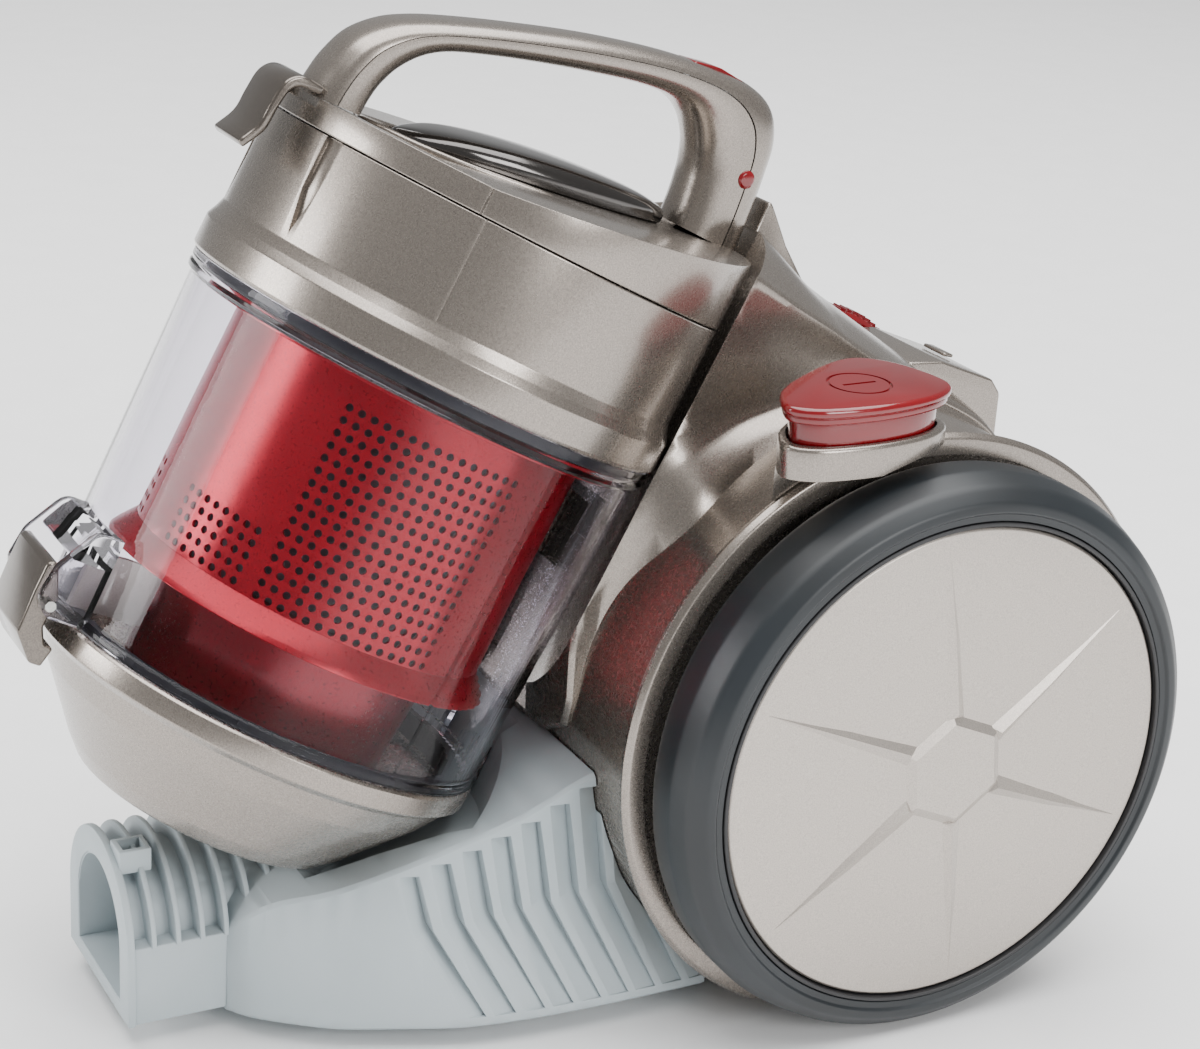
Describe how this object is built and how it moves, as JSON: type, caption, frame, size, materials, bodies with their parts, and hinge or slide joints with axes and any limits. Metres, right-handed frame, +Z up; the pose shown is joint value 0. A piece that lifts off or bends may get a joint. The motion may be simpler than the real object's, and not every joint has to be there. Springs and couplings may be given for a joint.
{
  "type": "canister vacuum cleaner",
  "caption": "Canister vacuum cleaner with a tilted clear cyclone bin, two large wheels and a front hose duct.",
  "frame": {"origin": "on the floor under the middle of the machine", "axes": "+Z up, the hose duct and the bin's front face -Y, +X towards the wheel on the power pedal's side"},
  "size_m": [0.24, 0.3764, 0.3208],
  "materials": {
    "bronze": "satin metallic paint",
    "bronze_dark": "gloss metallic paint",
    "base_grey": "fine moulded texture",
    "tyre": "matte",
    "disc_silver": "satin metallic paint",
    "clear": "clear, glossy",
    "red_metallic": "gloss",
    "red_gloss": "gloss",
    "seal": "matte",
    "steel": "satin",
    "foam": "open foam",
    "inner": "moulded",
    "copper": "wound wire"
  },
  "bodies": {
    "body": {"upper_housing": "bronze", "lower_housing": "base_grey", "side_wall_right": "bronze", "side_wall_left": "bronze", "chassis_base": "base_grey", "bottom_plate": "base_grey", "cord_outlet_housing": "bronze", "cord_outlet_bush": "seal", "pedal_collar_right": "bronze", "pedal_collar_left": "bronze", "axle_right": "steel", "axle_left": "steel", "caster_socket": "inner", "hose_socket": "seal", "intake_duct": "inner", "dial_spindle": "steel", "motor_can": "steel", "motor_stator": "copper", "motor_mount": "seal", "fan_housing": "inner", "rewind_spring": "steel", "control_board": "inner", "exhaust_filter": "foam"},
    "grille": {"exhaust_grille": "bronze_dark"},
    "right_wheel": {"tyre_right": "tyre", "wheel_hub_right": "inner", "hub_disc_right": "disc_silver"},
    "left_wheel": {"tyre_left": "tyre", "wheel_hub_left": "inner", "hub_disc_left": "disc_silver"},
    "caster_swivel": {"caster_fork": "inner", "caster_axle": "steel"},
    "caster_roller": {"caster_wheel": "inner"},
    "dial": {"power_dial": "red_gloss"},
    "pedal_power": {"power_pedal": "red_gloss"},
    "pedal_rewind": {"rewind_pedal": "red_gloss"},
    "motor": {"motor_rotor": "copper", "impeller": "steel"},
    "reel": {"cord_reel": "inner"},
    "bin": {"clear_bin": "clear", "collar": "bronze", "bin_gasket": "seal", "cyclone_shroud": "red_metallic", "shroud_skirt": "red_metallic", "dust_cup": "red_metallic", "cyclone_cone": "inner", "dust_baffle": "clear", "fine_filter": "foam", "latch_pin": "steel", "cap_hinge_pin": "steel"},
    "cap": {"bottom_cap": "bronze", "cap_gasket": "seal"},
    "latch": {"bottom_latch": "bronze_dark"},
    "lid_assembly": {"lid": "bronze", "pod_cover": "bronze_dark", "handle_grip": "bronze", "handle_cover": "bronze", "release_marker": "red_gloss"},
    "clip": {"lid_latch": "bronze_dark"},
    "button": {"release_button": "red_gloss"}
  },
  "joints": [
    {"name": "grille_hinge", "type": "hinge", "parent": "body", "child": "grille", "pos_m": [0, 0.17582, 0.06019], "axis": [1, 0, 0], "range_deg": [-70, 0]},
    {"name": "right_wheel_spin", "type": "hinge", "parent": "body", "child": "right_wheel", "pos_m": [0, 0.08472, 0.097], "axis": [1, 0, 0], "continuous": true},
    {"name": "left_wheel_spin", "type": "hinge", "parent": "body", "child": "left_wheel", "pos_m": [0, 0.08472, 0.097], "axis": [1, 0, 0], "continuous": true},
    {"name": "caster_swivel", "type": "hinge", "parent": "body", "child": "caster_swivel", "pos_m": [0, -0.07528, 0.02], "axis": [0, 0, 1], "continuous": true},
    {"name": "caster_roll", "type": "hinge", "parent": "caster_swivel", "child": "caster_roller", "pos_m": [0, -0.06828, 0.01], "axis": [1, 0, 0], "continuous": true},
    {"name": "dial_turn", "type": "hinge", "parent": "body", "child": "dial", "pos_m": [0, 0.11622, 0.1735], "axis": [1, 0, 0], "range_deg": [-60, 60]},
    {"name": "power_pedal_press", "type": "slide", "parent": "body", "child": "pedal_power", "axis": [0, 0, -1], "range_m": [0, 0.005], "stiffness_N_per_m": 900},
    {"name": "rewind_pedal_press", "type": "slide", "parent": "body", "child": "pedal_rewind", "axis": [0, 0, -1], "range_m": [0, 0.005], "stiffness_N_per_m": 900},
    {"name": "motor_spin", "type": "hinge", "parent": "body", "child": "motor", "pos_m": [0, 0.08472, 0.097], "axis": [1, 0, 0], "continuous": true},
    {"name": "reel_spin", "type": "hinge", "parent": "body", "child": "reel", "pos_m": [0, 0.08472, 0.097], "axis": [1, 0, 0], "continuous": true},
    {"name": "bin_lift", "type": "slide", "parent": "body", "child": "bin", "axis": [0, 0.4571, 0.8894], "range_m": [0, 0.32]},
    {"name": "cap_hinge", "type": "hinge", "parent": "bin", "child": "cap", "pos_m": [0, -0.03671, 0.06892], "axis": [1, 0, 0], "range_deg": [0, 50]},
    {"name": "cap_latch", "type": "hinge", "parent": "bin", "child": "latch", "pos_m": [0, -0.17953, 0.15199], "axis": [1, 0, 0], "range_deg": [-20, 0], "stiffness_Nm_per_rad": 0.15},
    {"name": "lid_lift", "type": "slide", "parent": "bin", "child": "lid_assembly", "axis": [0, 0.4571, 0.8894], "range_m": [0, 0.05]},
    {"name": "lid_clip", "type": "hinge", "parent": "lid_assembly", "child": "clip", "pos_m": [0, -0.09592, 0.30263], "axis": [1, 0, 0], "range_deg": [-40, 0]},
    {"name": "button_press", "type": "slide", "parent": "lid_assembly", "child": "button", "axis": [0, -0.4571, -0.8894], "range_m": [0, 0.003], "stiffness_N_per_m": 600}
  ],
  "couplings": [
    {"joint": "cap_hinge", "follows": "bin_lift", "rad_per_m": 2.7271}
  ]
}
